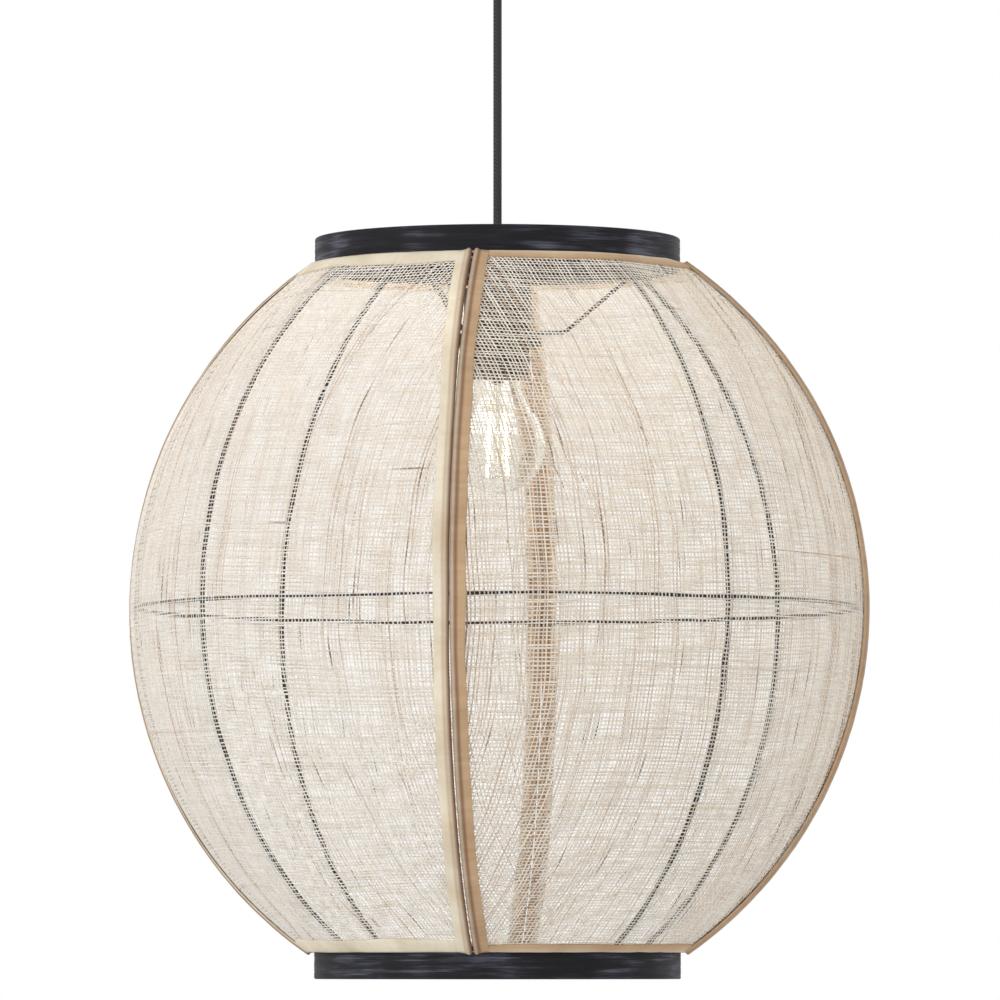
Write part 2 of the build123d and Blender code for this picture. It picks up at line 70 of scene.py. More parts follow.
FABRIC_OFF_RING = 3.6 * MM  # equator ring's outside to the middle of the gauze
HEM_PROUD = 2.5 * MM  # gauze stands out from the hoops by this much at the neck
SHADE_RADIUS = float(ring_high[0]) + FABRIC_OFF_RING
NECK_RADIUS = HOOP_RADIUS + HEM_PROUD
BULGE = SHADE_RADIUS - NECK_RADIUS
ARC_RADIUS = (BULGE**2 + HOOP_EDGE**2) / (2 * BULGE)
ARC_CENTRE = SHADE_RADIUS - ARC_RADIUS
GAUZE_CLEAR = 0.3 * MM  # gauze ends this far short of the hoops
GAUZE_TOP = HOOP_EDGE - GAUZE_CLEAR
TOP_ANGLE = math.asin(GAUZE_TOP / ARC_RADIUS)

SEAM_AZIMUTH = -7.2  # degrees, first seam
FRAME_AZIMUTH = 37.8  # degrees, first upright frame wire, in the middle of a panel
SEAM_COUNT = 4
RIB_PROUD = 0.55 * MM  # a rib's centre stands out from the gauze's round by this much

QUARTER = math.pi / 2  # angle round the axis from one seam to the next

YARN_PITCH = 2.5 * MM
YARN_WIDTH = 1.0 * MM
YARN_THICKNESS = 0.5 * MM
YARN_SIDES = 3
YARN_LIFT = 0.16 * MM  # half the height that a yarn rises and falls over its crossings
SEAM_GAP = 6.0 * MM  # seam's middle to the cut edge of a panel

# ---- camera ----

CAMERA_DISTANCE = 5.375
CAMERA_BELOW = 223.2 * MM  # below the widest level
CAMERA_TILT = 3.1  # degrees up
CAMERA_SIDE = 1.56 * MM
LENS = 309.6  # mm, as is the sensor
SENSOR_WIDTH = 36.0
FARTHEST_SEEN = 50.0

camera_data = bpy.data.cameras.new("camera")
camera_data.lens = LENS
camera_data.sensor_width = SENSOR_WIDTH
camera_data.clip_end = FARTHEST_SEEN
camera = bpy.data.objects.new("camera", camera_data)
camera.location = (CAMERA_SIDE, -CAMERA_DISTANCE, WIDEST_Z - CAMERA_BELOW)
camera.rotation_euler = (math.radians(90 + CAMERA_TILT), 0, 0)
bpy.context.scene.collection.objects.link(camera)
bpy.context.scene.camera = camera

# ---- material helpers ----

# a Mix node's sockets when it mixes colours
MIX_FACTOR, MIX_FIRST, MIX_SECOND, MIX_RESULT = 0, 6, 7, 2


class Shader:
    """A new material with its Principled shader, and short ways to add nodes to it."""

    def __init__(self, name, roughness, metallic=0.0, colour=(0.5, 0.5, 0.5)):
        self.material = bpy.data.materials.new(name)
        self.material.use_nodes = True
        self.tree = self.material.node_tree
        self.surface = self.tree.nodes["Principled BSDF"]
        self.surface.inputs["Roughness"].default_value = roughness
        self.surface.inputs["Metallic"].default_value = metallic
        self.surface.inputs["Base Color"].default_value = (*colour, 1)

    def node(self, kind, **values):
        made = self.tree.nodes.new(kind)
        for key, value in values.items():
            setattr(made, key, value)
        return made

    def link(self, start, end):
        self.tree.links.new(start, end)

    def coordinates(self, scale=(1, 1, 1)):
        """Object coordinates, stretched along each axis."""
        source = self.node("ShaderNodeTexCoord")
        mapping = self.node("ShaderNodeMapping")
        mapping.inputs["Scale"].default_value = scale
        self.link(source.outputs["Object"], mapping.inputs["Vector"])
        return mapping.outputs["Vector"]

    def noise(self, vector, scale, detail, roughness=0.5):
        made = self.node("ShaderNodeTexNoise")
        made.inputs["Scale"].default_value = scale
        made.inputs["Detail"].default_value = detail
        made.inputs["Roughness"].default_value = roughness
        self.link(vector, made.inputs["Vector"])
        return made.outputs["Fac"]

    def ramp(self, factor, stops):
        """Colours against a factor; each stop is (position, colour)."""
        made = self.node("ShaderNodeValToRGB")
        ramp = made.color_ramp
        while len(ramp.elements) < len(stops):
            ramp.elements.new(0.5)
        for element, (position, colour) in zip(ramp.elements, stops, strict=True):
            element.position = position
            element.color = (*colour, 1)
        self.link(factor, made.inputs["Fac"])
        return made.outputs["Color"]

    def spread(self, factor, low, high):
        """A factor from 0 to 1 brought to low to high."""
        made = self.node("ShaderNodeMapRange")
        made.inputs["To Min"].default_value = low
        made.inputs["To Max"].default_value = high
        self.link(factor, made.inputs["Value"])
        return made.outputs["Result"]

    def multiply(self, share, first, second):
        """The first colour, a share of the way to its product with the second."""
        made = self.node("ShaderNodeMix", data_type="RGBA", blend_type="MULTIPLY")
        made.inputs[MIX_FACTOR].default_value = share
        self.link(first, made.inputs[MIX_FIRST])
        self.link(second, made.inputs[MIX_SECOND])
        return made.outputs[MIX_RESULT]

    def math(self, operation, first, second):
        """Arithmetic on two values, each a socket or a number."""
        made = self.node("ShaderNodeMath", operation=operation)
        for socket, value in zip(made.inputs, (first, second), strict=False):
            if isinstance(value, float):
                socket.default_value = value
            else:
                self.link(value, socket)
        return made.outputs["Value"]

    def attribute(self, name):
        made = self.node("ShaderNodeAttribute", attribute_name=name)
        return made.outputs["Color"]

    def colour(self, socket):
        self.link(socket, self.surface.inputs["Base Color"])

    def rough(self, socket):
        self.link(socket, self.surface.inputs["Roughness"])

    def bump(self, height, strength, distance):
        made = self.node("ShaderNodeBump")
        made.inputs["Strength"].default_value = strength
        made.inputs["Distance"].default_value = distance
        self.link(height, made.inputs["Height"])
        self.link(made.outputs["Normal"], self.surface.inputs["Normal"])

    def let_light_through(self, colour, share):
        """Part of the surface passes light on diffusely, as thin cloth does."""
        through = self.node("ShaderNodeBsdfTranslucent")
        both = self.node("ShaderNodeMixShader")
        both.inputs["Fac"].default_value = share
        self.link(colour, through.inputs["Color"])
        self.link(self.surface.outputs["BSDF"], both.inputs[1])
        self.link(through.outputs["BSDF"], both.inputs[2])
        self.link(both.outputs["Shader"], self.tree.nodes["Material Output"].inputs["Surface"])

    def round_axis(self, around, along):
        """Coordinates wrapped round the upright axis: the angle and the height, scaled."""
        source = self.node("ShaderNodeTexCoord")
        parts = self.node("ShaderNodeSeparateXYZ")
        self.link(source.outputs["Object"], parts.inputs["Vector"])
        ahead = self.math("MULTIPLY", parts.outputs["Y"], -1.0)
        angle = self.math("ARCTAN2", parts.outputs["X"], ahead)
        joined = self.node("ShaderNodeCombineXYZ")
        self.link(self.math("MULTIPLY", angle, around), joined.inputs["X"])
        self.link(self.math("MULTIPLY", parts.outputs["Z"], along), joined.inputs["Y"])
        return joined.outputs["Vector"]


def yarn_material():
    """Undyed gauze yarn: each yarn's own tint, with finer flecks and fibre bumps."""
    shader = Shader("gauze_yarn", roughness=0.85)
    place = shader.coordinates()
    fleck = shader.ramp(
        shader.noise(place, 900.0, detail=3.0),
        [(0.30, (0.86, 0.81, 0.74)), (0.55, (1.0, 1.0, 1.0))],
    )
    tinted = shader.multiply(0.8, shader.attribute("tint"), fleck)
    shader.colour(tinted)
    shader.bump(shader.noise(place, 2600.0, detail=2.0), 0.35, 0.2 * MM)
    shader.let_light_through(tinted, 0.50)
    return shader.material


def cloth_material():
    """Close-woven tape and hem cloth, tinted by the piece's own attribute."""
    shader = Shader("tape_cloth", roughness=0.9)
    mottling = shader.ramp(
        shader.noise(shader.coordinates(), 45.0, detail=5.0),
        [(0.32, (0.86, 0.80, 0.72)), (0.62, (1.0, 1.0, 1.0))],
    )
    threads = shader.noise(shader.coordinates((1.0, 1.0, 0.15)), 2200.0, detail=2.0)
    crossing = shader.noise(shader.coordinates((0.2, 0.2, 1.0)), 2200.0, detail=2.0)
    weave = shader.math("ADD", threads, crossing)
    shade = shader.ramp(
        shader.spread(weave, 0.0, 0.5),
        [(0.30, (0.88, 0.85, 0.80)), (0.60, (1.0, 1.0, 1.0))],
    )
    tinted = shader.multiply(0.85, shader.attribute("tint"), mottling)
    woven = shader.multiply(0.9, tinted, shade)
    shader.colour(woven)
    shader.bump(weave, 0.4, 0.2 * MM)
    shader.let_light_through(woven, 0.20)
    return shader.material


def thread_material():
    """Off-white sewing thread with its twist."""
    shader = Shader("sewing_thread", roughness=0.8)
    twist = shader.noise(shader.coordinates((1.0, 1.0, 0.4)), 1800.0, detail=2.0)
    shader.colour(shader.ramp(twist, [(0.3, (0.62, 0.57, 0.49)), (0.65, (0.86, 0.83, 0.76))]))
    shader.bump(twist, 0.4, 0.2 * MM)
    return shader.material


def hoop_material():
    """Blue-black stained wood: fine level grain with worn grey-blue streaks."""
    shader = Shader("stained_wood", roughness=0.6)
    shader.surface.inputs["Specular IOR Level"].default_value = 0.22
    fine = shader.noise(shader.round_axis(0.55, 190.0), 5.0, detail=6.0, roughness=0.7)
    broad = shader.noise(shader.round_axis(0.9, 90.0), 3.0, detail=5.0)
    patch = shader.noise(shader.round_axis(1.0, 4.0), 2.5, detail=2.0)
    wear = shader.math("MULTIPLY", shader.math("MULTIPLY", fine, broad), patch)
    shader.colour(
        shader.ramp(
            wear,
            [
                (0.10, (0.004, 0.004, 0.006)),
                (0.14, (0.012, 0.012, 0.018)),
                (0.18, (0.045, 0.047, 0.064)),
                (0.28, (0.13, 0.14, 0.17)),
            ],
        )
    )
    shader.rough(shader.spread(fine, 0.45, 0.8))
    shader.bump(fine, 0.7, 0.6 * MM)
    return shader.material


def black_metal_material():
    """Black powder-coated wire."""
    shader = Shader("black_wire", roughness=0.45)
    speck = shader.noise(shader.coordinates(), 900.0, detail=3.0)
    shader.colour(
        shader.ramp(speck, [(0.35, (0.008, 0.008, 0.009)), (0.7, (0.022, 0.021, 0.02))])
    )
    shader.rough(shader.spread(speck, 0.35, 0.6))
    shader.bump(speck, 0.25, 0.2 * MM)
    return shader.material


def moulded_material(name, dark, light, rough=0.5, grain=1400.0):
    """Moulded plastic with a fine grain."""
    shader = Shader(name, roughness=rough)
    place = shader.coordinates()
    pits = shader.noise(place, grain, detail=2.0)
    broad = shader.noise(place, 60.0, detail=3.0)
    shader.colour(shader.ramp(broad, [(0.3, dark), (0.7, light)]))
    shader.rough(shader.spread(broad, rough - 0.08, rough + 0.1))
    shader.bump(pits, 0.2, 0.1 * MM)
    return shader.material


def metal_material(name, dark, light, rough=0.3):
    """Bare metal with drawn scratches and slight tarnish."""
    shader = Shader(name, roughness=rough, metallic=1.0)
    scratch = shader.noise(shader.coordinates((1.0, 1.0, 12.0)), 500.0, detail=4.0)
    tarnish = shader.noise(shader.coordinates(), 120.0, detail=4.0)
    shader.colour(shader.ramp(tarnish, [(0.3, dark), (0.65, light)]))
    shader.rough(shader.spread(scratch, rough - 0.08, rough + 0.15))
    shader.bump(scratch, 0.15, 0.08 * MM)
    return shader.material


def cord_material():
    """Black braided cord cover."""
    shader = Shader("cord_cover", roughness=0.7)
    braid = shader.node("ShaderNodeTexWave", wave_type="BANDS", bands_direction="DIAGONAL")
    braid.inputs["Scale"].default_value = 260.0
    braid.inputs["Distortion"].default_value = 1.5
    shader.link(shader.coordinates(), braid.inputs["Vector"])
    strands = braid.outputs["Fac"]
    shader.colour(
        shader.ramp(strands, [(0.2, (0.006, 0.006, 0.007)), (0.8, (0.03, 0.03, 0.032))])
    )
    shader.bump(strands, 0.5, 0.3 * MM)
    return shader.material


def glass_material():
    """Clear bulb glass with faint dust."""
    shader = Shader("bulb_glass", roughness=0.02, colour=(0.96, 0.97, 0.96))
    shader.surface.inputs["Transmission Weight"].default_value = 1.0
    shader.surface.inputs["IOR"].default_value = 1.45
    dust = shader.noise(shader.coordinates(), 150.0, detail=5.0)
    shader.rough(shader.spread(dust, 0.0, 0.06))
    return shader.material


def filament_material():
    """Glowing filament sticks, a little paler in patches."""
    shader = Shader("glowing_filament", roughness=0.5, colour=(1.0, 0.8, 0.5))
    heat = shader.ramp(
        shader.noise(shader.coordinates(), 700.0, detail=2.0),
        [(0.3, (1.0, 0.62, 0.25)), (0.7, (1.0, 0.80, 0.50))],
    )
    shader.link(heat, shader.surface.inputs["Emission Color"])
    shader.surface.inputs["Emission Strength"].default_value = 14.0
    return shader.material


YARN = yarn_material()
CLOTH = cloth_material()
HOOP = hoop_material()
BLACK = black_metal_material()
CORD = cord_material()
HOLDER = moulded_material("holder_plastic", (0.010, 0.008, 0.007), (0.028, 0.022, 0.018))
THREAD = thread_material()
FITTING = moulded_material("cord_fitting", (0.008, 0.008, 0.008), (0.02, 0.02, 0.02), 0.4)
PALE = moulded_material("pale_plastic", (0.50, 0.48, 0.43), (0.66, 0.64, 0.58), 0.45)
BLACK_GLASS = moulded_material("black_glass", (0.006, 0.006, 0.008), (0.015, 0.015, 0.02), 0.15)
BRASS = metal_material("brass", (0.42, 0.28, 0.09), (0.75, 0.55, 0.24))
STEEL = metal_material("zinc_steel", (0.32, 0.32, 0.33), (0.58, 0.58, 0.60))
ALUMINIUM = metal_material("cap_aluminium", (0.45, 0.44, 0.41), (0.72, 0.71, 0.68))
GLASS = glass_material()
GLOW = filament_material()

# ---- cord: straight from the gland's mouth up to the ceiling grip ----

CORD_DIAMETER = 5.3 * MM
CORD_END = 30 * MM  # from each end of the cord to its next control point
cord_low, cord_high = corners("cord")


def make_cord():
    """The pendant cord, pulled straight by the lantern's weight."""
    curve = bpy.data.curves.new("pendant_cord", "CURVE")
    curve.dimensions = "3D"
    curve.bevel_depth = CORD_DIAMETER / 2
    curve.bevel_resolution = 8
    curve.resolution_u = 12
    curve.use_fill_caps = True
    spline = curve.splines.new("NURBS")
    route = [
        (0, 0, cord_low[2]),
        (0, 0, cord_low[2] + CORD_END),
        (0, 0, cord_high[2] - CORD_END),
        (0, 0, cord_high[2]),
    ]
    spline.points.add(len(route) - 1)
    for point, place in zip(spline.points, route, strict=True):
        point.co = (*place, 1)
    spline.order_u = 3
    spline.use_endpoint_u = True
    curve.materials.append(CORD)
    piece = bpy.data.objects.new("pendant_cord", curve)
    bpy.context.scene.collection.objects.link(piece)
    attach(piece, "cord")
    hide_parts("cord")


make_cord()

# ---- mesh helpers ----


def add_mesh(name, points, faces, material, tints=None):
    """A new smooth object from points and faces, with an optional tint for each point."""
    mesh = bpy.data.meshes.new(name)
    if isinstance(faces, np.ndarray):
        faces = [faces]
    corner_count = sum(block.size for block in faces)
    face_count = sum(len(block) for block in faces)
    mesh.vertices.add(len(points))
    mesh.vertices.foreach_set("co", np.asarray(points, np.float32).ravel())
    mesh.loops.add(corner_count)
    mesh.polygons.add(face_count)
    mesh.loops.foreach_set("vertex_index", np.concatenate([block.ravel() for block in faces]))
    sizes = np.concatenate([np.full(len(block), block.shape[1]) for block in faces])
    starts = np.concatenate([[0], np.cumsum(sizes)[:-1]])
    mesh.polygons.foreach_set("loop_start", starts.astype(np.int32))
    mesh.update(calc_edges=True)
    mesh.polygons.foreach_set("use_smooth", np.full(face_count, True))
    if tints is not None:
        layer = mesh.color_attributes.new("tint", "FLOAT_COLOR", "POINT")
        colours = np.ones((len(points), 4), np.float32)
        colours[:, :3] = tints
        layer.data.foreach_set("color", colours.ravel())
    mesh.materials.append(material)
    mesh.validate()
    piece = bpy.data.objects.new(name, mesh)
    bpy.context.scene.collection.objects.link(piece)
    return piece


def yarn_faces(rings, first):
    """Quads between a yarn's rings of points, and one face over each of its two ends."""
    ring = np.arange(rings - 1)[:, None] * YARN_SIDES + first
    side = np.arange(YARN_SIDES)[None, :]
    after = (side + 1) % YARN_SIDES
    beyond = ring + YARN_SIDES
    quads = np.stack([ring + side, ring + after, beyond + after, beyond + side], -1)
    start = side[:, ::-1] + first
    end = side + first + (rings - 1) * YARN_SIDES
    return quads.reshape(-1, 4), np.concatenate([start, end])


def smooth_noise(rng, count, step, amplitude):
    """Random values that drift smoothly along a line of points."""
    knots = rng.normal(0, amplitude, int(count / step) + 4)
    return np.interp(np.arange(count) / step, np.arange(len(knots)), knots)


# ---- the shade's surface: theta is the angle up its arc, 0 at the widest level ----

SLACK = 3.6 * MM  # most that the gauze lies inside the full round
SLACK_EDGE = 0.10  # angle over which the slack dies out at the necks


def shade_radius(theta):
    """Distance out from the axis at an angle up the shade's arc."""
    return ARC_CENTRE + ARC_RADIUS * np.cos(theta)


def slack(azimuth_share, theta):
    """How far the gauze lies inside the full round, between a wire and a seam."""
    between = np.abs(np.sin(math.pi * azimuth_share)) ** 1.4
    upright = 0.35 + 0.65 * np.clip(np.sin(2.2 * np.abs(theta)), 0, 1)
    edge = np.clip((TOP_ANGLE - np.abs(theta)) / SLACK_EDGE, 0, 1)
    return SLACK * between * upright * edge


def on_shade(middle, across, theta, lift):
    """Points at a distance across from a panel's middle, an angle up its arc and a lift."""
    radius = shade_radius(theta)
    azimuth = middle + across / radius
    share = (azimuth - middle) / (QUARTER / 2)
    out = lift - slack(share, theta)
    flat = radius + out * np.cos(theta)
    return np.stack(
        [
            flat * np.sin(azimuth),
            -flat * np.cos(azimuth),
            WIDEST_Z + ARC_RADIUS * np.sin(theta) + out * np.sin(theta),
        ],
        -1,
    )


def outward(middle, across, theta):
    """The shade's outward direction at a distance across and an angle up."""
    azimuth = middle + across / shade_radius(theta)
    return np.stack(
        [np.cos(theta) * np.sin(azimuth), -np.cos(theta) * np.cos(azimuth), np.sin(theta)], -1
    )


def yarn_rings(centre, normal, width, thickness):
    """The corner points of a flattened yarn round each point of its line."""
    along = np.gradient(centre, axis=0)
    along /= np.linalg.norm(along, axis=1, keepdims=True)
    side = np.cross(along, normal)
    turn = math.pi / 2 + 2 * math.pi / YARN_SIDES * np.arange(YARN_SIDES)
    return (
        centre[:, None, :]
        + side[:, None, :] * (np.cos(turn)[None, :, None] * width[:, None, None] / 2)
        + normal[:, None, :] * (np.sin(turn)[None, :, None] * thickness[:, None, None] / 2)
    ).reshape(-1, 3)


# ---- gauze ----

CREAM = np.array([0.955, 0.94, 0.905])
WHITE_YARN = np.array([0.985, 0.985, 0.98])
TAN = np.array([0.62, 0.46, 0.32])
BROWN = np.array([0.22, 0.11, 0.06])
# each panel's cloth is a little different; the front right one, 1, is the darkest, partly as
# painted shade for the side turned from the key light
PANEL_YARN_AND_SHADE = {
    1: np.array([0.965, 0.96, 0.945]),
    2: np.array([0.99, 0.97, 0.94]),
    3: np.array([0.99, 0.98, 0.96]),
    4: np.array([1.0, 1.0, 1.0]),
}
# most tan in a plain yarn (by panel for the warps), chance of a tan streak, mean slubs
WARP_TAN = {1: 0.45, 2: 0.25, 3: 0.25, 4: 0.22}
WARP_STREAKS, WARP_SLUBS = 0.42, 0.10
WEFT_TAN, WEFT_STREAKS, WEFT_SLUBS = 0.08, 0.03, 0.015
STREAK_SLUBS = 7  # a streaked yarn has this many times more slubs
# half lengths are counted in crossings; depths are shares of the darker colour
STREAK_LENGTHS, STREAK_DEPTHS = (10, 52), (0.25, 0.82)
SLUB_LENGTHS, SLUB_DEPTHS = (2, 7), (0.4, 0.9)
LEAST_CROSSINGS = 8  # shorter warps are left out
PHASES = 6.28  # range of the slow waves' phases


def yarn_tint(rng, count, streak_chance, slubs, tan):
    """One yarn's colour along its length: cream, sometimes tan, with short dark slubs."""
    base = CREAM + (WHITE_YARN - CREAM) * rng.random()
    base = base + (TAN - base) * tan * rng.random() ** 2
    streak = np.zeros(count)
    if rng.random() < streak_chance:
        start = rng.integers(0, count)
        length = rng.integers(*STREAK_LENGTHS)
        reach = np.abs(np.arange(count) - start) / length
        uneven = 1 + smooth_noise(rng, count, step=3, amplitude=0.25)
        streak = np.clip((1.15 - reach) * uneven, 0, 1) * rng.uniform(*STREAK_DEPTHS)
    tint = base + (TAN - base) * streak[:, None]
    for _ in range(rng.poisson(slubs * (1 + STREAK_SLUBS * (streak.max() > 0.3)))):
        start = rng.integers(0, count)
        reach = np.abs(np.arange(count) - start) / rng.integers(*SLUB_LENGTHS)
        dark = np.clip(1.2 - reach, 0, 1) * rng.uniform(*SLUB_DEPTHS)
        tint = tint + (BROWN - tint) * dark[:, None]
    return tint * (1 + smooth_noise(rng, count, step=6, amplitude=0.025))[:, None]


def make_gauze(number):
    """One panel of open gauze, yarn by yarn: warps run up and down, wefts round the shade."""
    rng = np.random.default_rng(100 + number)
    middle = math.radians(FRAME_AZIMUTH + 90 * (number - 1))
    weft_count = int(2 * ARC_RADIUS * TOP_ANGLE / YARN_PITCH) + 1
    theta_rows = np.linspace(-TOP_ANGLE, TOP_ANGLE, weft_count)
    half_rows = QUARTER / 2 * shade_radius(theta_rows) - SEAM_GAP
    reach = int(half_rows.max() / YARN_PITCH)
    columns = np.arange(-reach, reach + 1)
    row_step = theta_rows[1] - theta_rows[0]
    # neighbouring yarns drift together, so the whole cloth carries these slow waves
    drift_phase = rng.uniform(0, PHASES, 3)

    def drift(across, theta):
        return YARN_PITCH * (
            0.35 * np.sin(theta * 9 + across * 14 + drift_phase[0])
            + 0.22 * np.sin(theta * 23 - across * 40 + drift_phase[1])
        )

    points, tints, quads, ends = [], [], [], []
    first = 0

    def add_yarn(across, theta, lift, size, tint):
        nonlocal first
        centre = on_shade(middle, across, theta, lift)
        normal = outward(middle, across, theta)
        points.append(yarn_rings(centre, normal, YARN_WIDTH * size, YARN_THICKNESS * size))
        # panel 1's darker yarn tint is partly painted shade
        tints.append(np.repeat(tint * PANEL_YARN_AND_SHADE[number], YARN_SIDES, axis=0))
        body, caps = yarn_faces(len(centre), first)
        quads.append(body)
        ends.append(caps)
        first += len(centre) * YARN_SIDES

    for column in columns:
        rows = np.flatnonzero(half_rows >= abs(column) * YARN_PITCH)
        if len(rows) < LEAST_CROSSINGS:
            continue
        theta = theta_rows[rows]
        wander = smooth_noise(rng, len(rows), step=14, amplitude=0.10 * YARN_PITCH)
        across = column * YARN_PITCH + rng.normal(0, 0.09) * YARN_PITCH + wander
        across = across + drift(column * YARN_PITCH, theta)
        across = np.clip(across, -half_rows[rows], half_rows[rows])
        lift = YARN_LIFT * np.where((column + rows) % 2, 1.0, -1.0)
        size = 1 + smooth_noise(rng, len(rows), step=5, amplitude=0.13) + rng.normal(0, 0.10)
        size = np.clip(size, 0.6, 1.7)
        tint = yarn_tint(rng, len(rows), WARP_STREAKS, WARP_SLUBS, WARP_TAN[number])
        add_yarn(across, theta, lift, size, tint)

    for row in range(weft_count):
        edge = half_rows[row]
        places = columns[np.abs(columns) * YARN_PITCH <= edge]
        across = np.concatenate([[-edge], places * YARN_PITCH, [edge]])
        index = np.concatenate([[places[0] - 1], places, [places[-1] + 1]])
        count = len(across)
        wander = smooth_noise(rng, count, step=12, amplitude=0.12) + rng.normal(0, 0.07)
        wave = 0.25 * np.sin(across * 32 + drift_phase[2] + theta_rows[row] * 5)
        theta = theta_rows[row] + row_step * (wander + wave)
        theta = np.clip(theta, -TOP_ANGLE, TOP_ANGLE)
        lift = YARN_LIFT * np.where((index + row) % 2, -1.0, 1.0)
        size = 1 + smooth_noise(rng, count, step=5, amplitude=0.15) + rng.normal(0, 0.12)
        size = np.clip(size, 0.55, 1.8)
        tint = yarn_tint(rng, count, WEFT_STREAKS, WEFT_SLUBS, WEFT_TAN)
        add_yarn(across, theta, lift, size, tint)

    piece = add_mesh(
        f"gauze_{number}",
        np.concatenate(points),
        [np.concatenate(quads), np.concatenate(ends)],
        YARN,
        np.concatenate(tints),
    )
    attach(piece, "shade")
    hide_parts(f"panel_{number}")
    return piece


# ---- hems: folded bands of close cloth at the two necks of each panel ----

HEM_WIDTH = {1: 6.5 * MM, 2: 9.0 * MM, 3: 10.0 * MM, 4: 11.0 * MM}
HEM_THICKNESS = 0.9 * MM
HEM_LIFT = 0.55 * MM  # hem's middle over the middle of the gauze
HEM_SWELL = 0.25 * MM  # how much further its middle line rises
HEM_BEYOND = 2.0 * MM  # hem runs on past the gauze's cut edge
HEM_ROWS, HEM_COLUMNS = 9, 90


def strip_solid(name, grid, normals, thickness, material, tints):
    """A closed thin solid from a grid of points (rows, columns), thickened both ways."""
    rows, columns = grid.shape[:2]
    half = thickness / 2 * normals
    points = np.concatenate([(grid + half).reshape(-1, 3), (grid - half).reshape(-1, 3)])
    count = rows * columns
    index = np.arange(count).reshape(rows, columns)
    a, b = index[:-1, :-1], index[:-1, 1:]
    c, d = index[1:, 1:], index[1:, :-1]
    front = np.stack([a, b, c, d], -1).reshape(-1, 4)
    back = front[:, ::-1] + count
    rim = np.concatenate([index[0, :], index[1:, -1], index[-1, -2::-1], index[-2:0:-1, 0]])
    after = np.roll(rim, -1)
    wall = np.stack([after, rim, rim + count, after + count], -1)
    return add_mesh(
        name,
        points,
        np.concatenate([front, back, wall]),
        material,
        np.concatenate([tints.reshape(-1, 3)] * 2),
    )


def make_hem(number, top):
    """A folded hem that lies over the gauze's end, next to the hoop."""
    rng = np.random.default_rng(500 + number + 10 * top)
    middle = math.radians(FRAME_AZIMUTH + 90 * (number - 1))
    sign = 1 if top else -1
    run = np.linspace(0, 1, HEM_ROWS)[:, None]
    uneven = smooth_noise(rng, HEM_COLUMNS, step=9, amplitude=0.5 * MM)[None, :]
    theta = sign * (TOP_ANGLE - run * (HEM_WIDTH[number] + uneven) / ARC_RADIUS)
    half = QUARTER / 2 * shade_radius(theta) - SEAM_GAP + HEM_BEYOND
    across = np.linspace(-1, 1, HEM_COLUMNS)[None, :] * half
    ripple = np.array(
        [smooth_noise(rng, HEM_COLUMNS, step=5, amplitude=0.10 * MM) for _ in range(HEM_ROWS)]
    )
    lift = HEM_LIFT + HEM_SWELL * np.sin(math.pi * run) + ripple
    grid = on_shade(middle, across, theta, lift)
    normals = outward(middle, across, theta) * sign
    # the fold at the hoop is paler than the edge that lies on the gauze
    fold = 0.7 * (1 - run[..., None]) ** 2
    # the front right panel's darker tan here is partly painted shade
    cloth = PANEL_TAPE_AND_SHADE[number] * (1 - fold) + PANEL_TAPE_AND_SHADE[4] * fold
    tint = np.ones((HEM_ROWS, HEM_COLUMNS, 3)) * cloth
    tint *= (1 + smooth_noise(rng, HEM_COLUMNS, step=8, amplitude=0.03))[None, :, None]
    tint *= (1 + 0.015 * rng.standard_normal(HEM_COLUMNS))[None, :, None]
    name = f"hem_{'top' if top else 'bottom'}_{number}"
    piece = strip_solid(name, grid, normals, HEM_THICKNESS, CLOTH, tint)
    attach(piece, "shade")
    return piece


# ---- seam sleeves: a tape that wraps each rib and lies down on the panel ----

TAPE_REACH = 9.9 * MM  # seam's middle to the tape's stitched edge
TAPE_THICKNESS = 0.5 * MM
WRAP_RADIUS = 2.30 * MM  # rib's centre to the middle of its cloth
WRAP_TURNS = np.radians(np.linspace(-150, 78, 26))
TAPE_STEPS = 11
TAPE_LANDING = 0.75 * MM  # height of the tape's stitched edge over the gauze
TAPE_SAG = 0.9 * MM  # how far the tape dips beside the rib
SLEEVE_ROWS = 260
SLEEVE_CLEAR = 0.4 * MM  # sleeves end this far short of the gauze's ends
WRINKLE_LINES = 5  # slow wrinkles side by side across a sleeve
# the tape is the panel's own folded edge: cream on the front left panel, tan on the others; the
# front right panel's darker, warmer tan is partly painted shade for the side turned from the
# key light
PANEL_TAPE_AND_SHADE = {
    1: np.array([0.57, 0.40, 0.25]),
    2: np.array([0.68, 0.53, 0.36]),
    3: np.array([0.72, 0.57, 0.40]),
    4: np.array([0.82, 0.76, 0.63]),
}
# a rib's greyer cloth: partly its own cloth and partly painted shade, as the wire inside keeps
# light from showing through
RIB_CLOTH_AND_SHADE = np.array([0.62, 0.55, 0.45])
RIB_SHARE = {"left": 0.45, "right": 0.85}  # how much of that colour a rib's cloth takes
# painted shade, as the share of its own colour that the cloth keeps: at four turns round the
# rib, and at the tape's first four points, down in the valley beside it; with light from the
# left, the left sleeve is darker at the gap and the right one in the valley
WRAP_PLACES = [-20, 28, 55, 78]
WRAP_PAINTED_SHADE = {"left": [0.12, 0.26, 0.52, 0.88], "right": [0.20, 0.60, 0.86, 0.92]}
VALLEY_PAINTED_SHADE = {"left": [0.88, 0.80, 0.82, 0.94], "right": [0.62, 0.38, 0.50, 0.84]}
# the far seam keeps only half the painted shade
FAR_SEAM = 3  # hangs in full light

